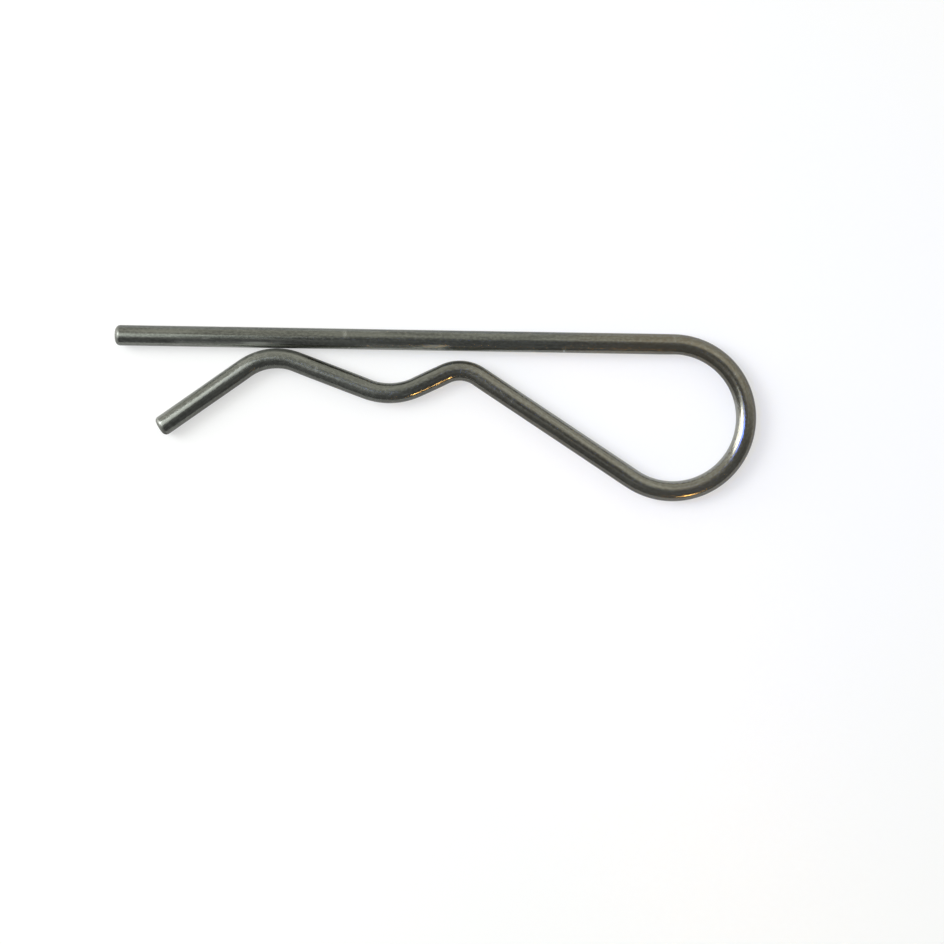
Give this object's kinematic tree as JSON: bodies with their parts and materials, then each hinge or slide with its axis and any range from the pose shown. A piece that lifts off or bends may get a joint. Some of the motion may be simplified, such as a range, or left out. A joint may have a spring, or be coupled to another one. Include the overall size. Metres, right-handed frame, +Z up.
{
  "type": "hitch r clip pin",
  "caption": "Hitch R clip bent from round spring wire, with a straight leg for a cross hole, a curved seat for the shaft, a flared tail and a round pull eye.",
  "frame": {"origin": "on the surface the clip lies on, under the middle of the clip", "axes": "+X along the straight leg towards the eye, +Y from the bent leg towards the straight leg, +Z up through the wire's thickness"},
  "size_m": [0.1246, 0.0326, 0.0041],
  "materials": {
    "spring_steel": "bare drawn spring wire, dull olive grey with fine lengthwise draw lines and a thin film of oil"
  },
  "bodies": {
    "root": {"clip_wire": "spring_steel"}
  },
  "joints": []
}
